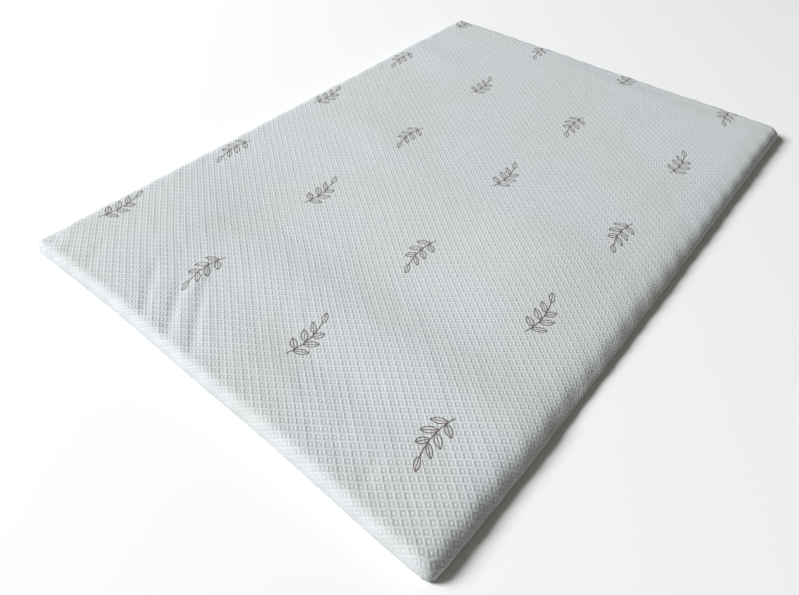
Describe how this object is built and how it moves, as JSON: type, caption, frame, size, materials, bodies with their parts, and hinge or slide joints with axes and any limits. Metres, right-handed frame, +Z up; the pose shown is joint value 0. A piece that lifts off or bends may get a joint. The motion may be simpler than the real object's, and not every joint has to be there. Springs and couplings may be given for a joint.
{
  "type": "mattress topper",
  "caption": "Thin flat rectangular mattress topper with soft rounded edges in a knitted cover, lying on its flat base.",
  "frame": {"origin": "under the middle of the topper's outline, on the surface that it lies on", "axes": "+X across the width, +Y along the length, +Z up"},
  "size_m": [1.4134, 2.002, 0.0537],
  "materials": {
    "cover_cloth": "matt knitted jacquard cloth with small raised diamonds"
  },
  "bodies": {
    "root": {"topper": "cover_cloth"}
  },
  "joints": []
}
